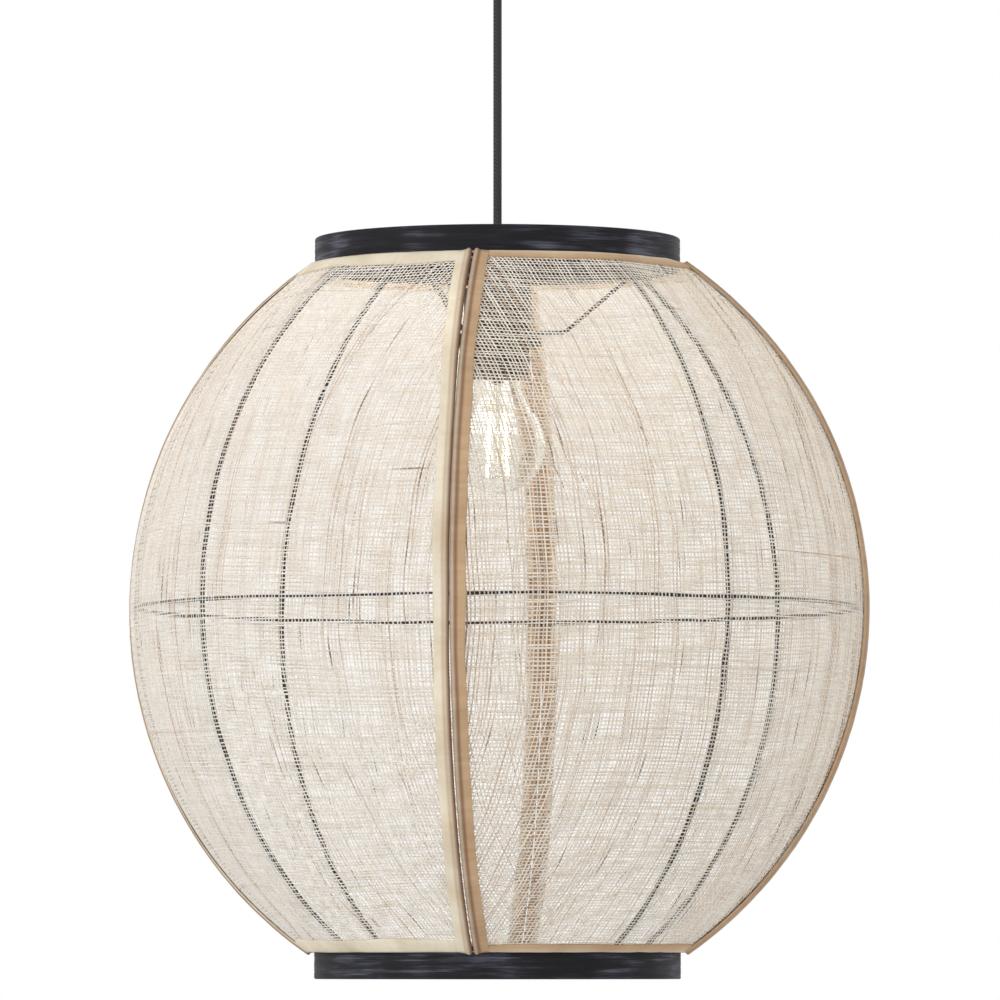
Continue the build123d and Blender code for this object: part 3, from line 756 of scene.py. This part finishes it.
# half the gap between a seam's sleeves: nearly shut between two heights over the widest
# level, and opening over a short run beyond each
GAP_SHUT = 0.06 * MM
GAP_TOP, GAP_TOP_FROM, GAP_TOP_RUN = 0.45 * MM, 110 * MM, 60 * MM
GAP_BASE, GAP_BASE_FROM, GAP_BASE_RUN = 0.32 * MM, -5 * MM, 30 * MM


def seam_gap(theta):
    """Half the gap between a seam's two sleeves: open at both ends, nearly shut between."""
    height = ARC_RADIUS * np.sin(theta)
    above = np.clip((height - GAP_TOP_FROM) / GAP_TOP_RUN, 0, 1)
    below = np.clip((GAP_BASE_FROM - height) / GAP_BASE_RUN, 0, 1)
    return GAP_SHUT + GAP_TOP * above + GAP_BASE * below


def seam_frame(azimuth, theta):
    """Centre line, sideways and outward directions of a seam at angles up the arc."""
    turn = math.radians(azimuth)
    radial = np.array([math.sin(turn), -math.cos(turn), 0.0])
    sideways = np.array([math.cos(turn), math.sin(turn), 0.0])
    up = np.array([0.0, 0.0, 1.0])
    out = np.cos(theta)[:, None] * radial + np.sin(theta)[:, None] * up
    base = (ARC_CENTRE * radial)[None, :] + ARC_RADIUS * out + [0, 0, WIDEST_Z]
    return base, sideways, out


def sleeve_profile(gap):
    """Half a seam's cloth in (sideways, out) for each half gap: round the rib, then flat."""
    centre = gap[:, None] + WRAP_RADIUS + TAPE_THICKNESS / 2
    along = centre - WRAP_RADIUS * np.cos(WRAP_TURNS)
    height = RIB_PROUD + WRAP_RADIUS * np.sin(WRAP_TURNS) + np.zeros_like(gap)[:, None]
    share = np.linspace(0, 1, TAPE_STEPS + 1)[1:]
    tape = along[:, -1:] + (TAPE_REACH - along[:, -1:]) * share
    fall = height[:, -1:] + (TAPE_LANDING - height[:, -1:]) * share
    fall = fall - TAPE_SAG * np.sin(math.pi * share) * (1 - share)
    return np.concatenate([along, tape], 1), np.concatenate([height, fall], 1)


def make_sleeve(number, side):
    """One sewn sleeve with its tape, replacing the plain CAD sleeve."""
    azimuth = SEAM_AZIMUTH + 90 * (number - 1)
    sign = -1 if side == "left" else 1
    panel = number if side == "right" else (number - 2) % SEAM_COUNT + 1
    rng = np.random.default_rng(900 + 10 * number + sign)
    rows = SLEEVE_ROWS
    top = TOP_ANGLE - SLEEVE_CLEAR / ARC_RADIUS
    theta = np.linspace(-top, top, rows)
    base, sideways, out = seam_frame(azimuth, theta)
    along, height = sleeve_profile(seam_gap(theta))
    columns = along.shape[1]
    share = np.linspace(0, 1, columns)
    # wrinkles run mostly along the sleeve, with a few small gathers across it
    lines = np.array(
        [smooth_noise(rng, rows, step=26, amplitude=0.14 * MM) for _ in range(WRINKLE_LINES)]
    )
    places = np.linspace(0, 1, WRINKLE_LINES)
    wrinkles = np.array([np.interp(share, places, row) for row in lines.T])
    gathers = smooth_noise(rng, rows, step=2.2, amplitude=0.06 * MM)[:, None]
    gathers = gathers * np.sin(math.pi * share)[None, :]
    edge = smooth_noise(rng, rows, step=16, amplitude=0.30 * MM)[:, None] * share[None, :] ** 3
    along = along + edge
    height = height + wrinkles + gathers
    grid = (
        base[:, None, :]
        + sign * along[..., None] * sideways[None, None, :]
        + height[..., None] * out[:, None, :]
    )
    normals = np.cross(np.gradient(grid, axis=1), np.gradient(grid, axis=0))
    normals /= np.linalg.norm(normals, axis=-1, keepdims=True)
    # painted shade: the cloth darkens towards brown down in the gap and in the valley where the
    # rib meets its tape
    wrap_count = len(WRAP_TURNS)
    valley = VALLEY_PAINTED_SHADE[side]
    kept = np.ones(columns)
    kept[:wrap_count] = np.interp(np.degrees(WRAP_TURNS), WRAP_PLACES, WRAP_PAINTED_SHADE[side])
    kept[wrap_count : wrap_count + len(valley)] = valley
    if number == FAR_SEAM:
        kept = 1 - 0.5 * (1 - kept)
    ends = [wrap_count / columns, (wrap_count + 2) / columns]
    on_rib = np.interp(share, ends, [RIB_SHARE[side], 0])
    cloth = PANEL_TAPE_AND_SHADE[panel] + (RIB_CLOTH_AND_SHADE - PANEL_TAPE_AND_SHADE[panel]) * on_rib[:, None]
    # painted shade: brown mixed in where the cloth keeps less of its own colour
    cloth_and_painted_shade = BROWN ** (1 - kept)[:, None] * cloth ** kept[:, None]
    tint = np.ones((rows, columns, 3)) * cloth_and_painted_shade
    tint = tint * (1 + smooth_noise(rng, rows, step=20, amplitude=0.035))[:, None, None]
    # the yarns of the folded cloth show as fine lines across the tape
    weave = 0.035 if panel == 1 else 0.012
    tint = tint * (1 + weave * rng.standard_normal(rows))[:, None, None]
    name = f"sleeve_{number}_{side}"
    piece = strip_solid(name, grid, normals, TAPE_THICKNESS, CLOTH, tint)
    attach(piece, "shade")
    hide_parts(f"rib_sleeve_{number}_{side}")


for number in range(1, SEAM_COUNT + 1):
    gauze = make_gauze(number)
    hems = [make_hem(number, top) for top in (True, False)]
    for side in ("left", "right"):
        make_sleeve(number, side)

# ---- hoops ----

HOOP_BORE = 111.5 * MM  # radius inside a hoop
HOOP_EASING = 0.9 * MM  # radius of its softened edges
HOOP_AROUND, HOOP_UP = 720, 26  # points round a hoop and up its outside
RIDGE_DEPTH = 0.3 * MM  # deepest that the grain cuts in
RIDGE_RISE = 0.12 * MM  # highest that it stands out, up to the CAD's face


def make_hoop(name, low):
    """A bent wood hoop with grain ridges, softened edges and a slightly uneven line."""
    rng = np.random.default_rng(40 + len(name))
    around = HOOP_AROUND
    wall = HOOP_RADIUS - HOOP_BORE
    turn = np.linspace(0, 2 * math.pi, around, endpoint=False)
    lower, upper = HOOP_EASING, HOOP_HEIGHT - HOOP_EASING
    heights = np.linspace(lower, upper, HOOP_UP)
    corner = [
        (HOOP_EASING * (1 - math.cos(bend)), HOOP_EASING * math.sin(bend))
        for bend in np.linspace(0.3, 1.57, 4)
    ]
    # (distance out from its face, height over its base) round the hoop's section
    profile = np.array(
        [(0.0, height) for height in heights]
        + [(-depth, upper + rise) for depth, rise in corner]
        + [(-wall + depth, upper + rise) for depth, rise in corner[::-1]]
        + [(-wall, height) for height in heights[::-4]]
        + [(-wall + depth, lower - rise) for depth, rise in corner]
        + [(-depth, lower - rise) for depth, rise in corner[::-1]]
    )
    grain = np.array(
        [smooth_noise(rng, around + 1, step=60, amplitude=0.09 * MM) for _ in profile]
    )
    # each ridge comes back to its own start
    blend = np.linspace(0, 1, around)
    grain = grain[:, :around] * (1 - blend) + grain[:, :1] * blend
    ridges = np.clip(grain.T, -RIDGE_DEPTH, RIDGE_RISE)
    radius = HOOP_RADIUS - RIDGE_RISE + profile[:, 0][None, :] + ridges
    height = low + profile[:, 1][None, :] + np.zeros((around, 1))
    points = np.stack(
        [radius * np.sin(turn)[:, None], -radius * np.cos(turn)[:, None], height], -1
    )
    count = len(profile)
    index = np.arange(around * count).reshape(around, count)
    after = np.roll(index, -1, axis=0)
    following = np.roll(index, -1, axis=1)
    both = np.roll(after, -1, axis=1)
    faces = np.stack([index, after, both, following], -1).reshape(-1, 4)
    piece = add_mesh(f"{name}_wood", points.reshape(-1, 3), faces, HOOP)
    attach(piece, "shade")
    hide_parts(name)


make_hoop("top_hoop", float(hoop_low[2]))
make_hoop("bottom_hoop", float(base_low[2]))

# ---- finishes of the CAD pieces that stay ----

FINISH = {
    "frame_metal": BLACK,
    "rib_wire": STEEL,
    "thread": THREAD,
    "cord_fitting": FITTING,
    "holder_shell": HOLDER,
    "holder_insulator": PALE,
    "contact_metal": BRASS,
    "clear_glass": GLASS,
    "filament": GLOW,
    "support_metal": STEEL,
    "cap_metal": ALUMINIUM,
    "bulb_insulator": BLACK_GLASS,
    "canopy_metal": BLACK,
    "fixing_steel": STEEL,
    "terminal_plastic": PALE,
}
for entry in frame["record"]["subparts"]:
    finish = FINISH.get(entry["material_slot"])
    node = bpy.data.objects.get(entry["node"])
    if finish is None or node is None:
        continue
    for place in node.material_slots:
        place.material = finish

# ---- floor, light and world ----

FLOOR_Z = -2.4  # a usual room's height below the ceiling
FLOOR_HALF = 1.5
floor_corners = np.array([[-1, -1, 0], [1, -1, 0], [1, 1, 0], [-1, 1, 0]])
floor = add_mesh(
    "floor",
    FLOOR_HALF * floor_corners + [0, 0, FLOOR_Z],
    np.array([[0, 1, 2, 3]]),
    moulded_material("studio_floor", (0.82, 0.82, 0.81), (0.84, 0.84, 0.83), 0.8, 40.0),
)


def add_light(name, place, size, power, colour):
    """A soft square light that faces the lantern."""
    data = bpy.data.lights.new(name, "AREA")
    data.size = size
    data.energy = power
    data.color = colour
    light = bpy.data.objects.new(name, data)
    light.location = place
    aim = np.array([0, 0, WIDEST_Z]) - np.array(place)
    flat = math.hypot(aim[0], aim[1])
    light.rotation_euler = (math.atan2(flat, -aim[2]), 0, math.atan2(-aim[0], aim[1]))
    bpy.context.scene.collection.objects.link(light)


add_light("key", place=(-2.2, -2.2, 0.5), size=1.6, power=34.0, colour=(1.0, 0.99, 0.97))
add_light("back", place=(0.6, 2.6, 0.6), size=1.6, power=12.0, colour=(1.0, 1.0, 1.0))

# the lit bulb: a small warm light inside the glass, which lets it out unshaded
BULB_LIGHT_RADIUS = 12 * MM
BULB_LIGHT_POWER = 1.7
BULB_LIGHT_RISE = 30 * MM  # over the glass's lowest point
glass_low = corners("bulb_glass")[0]
bulb_light = bpy.data.lights.new("bulb_light", "POINT")
bulb_light.shadow_soft_size = BULB_LIGHT_RADIUS
bulb_light.energy = BULB_LIGHT_POWER
bulb_light.color = (1.0, 0.86, 0.70)
lamp = bpy.data.objects.new("bulb_light", bulb_light)
lamp.location = (0, 0, glass_low[2] + BULB_LIGHT_RISE)
lamp.visible_camera = False
lamp.visible_glossy = False
lamp.visible_transmission = False
bpy.context.scene.collection.objects.link(lamp)
frame["nodes"]["bulb_glass"].visible_shadow = False


def make_world():
    """A plain white surround, which also lights the lantern from all sides."""
    world = bpy.data.worlds.new("studio")
    bpy.context.scene.world = world
    world.use_nodes = True
    background = world.node_tree.nodes["Background"]
    background.inputs["Color"].default_value = (1, 1, 1, 1)
    background.inputs["Strength"].default_value = 1.0


make_world()
bpy.context.scene.view_settings.view_transform = "Standard"
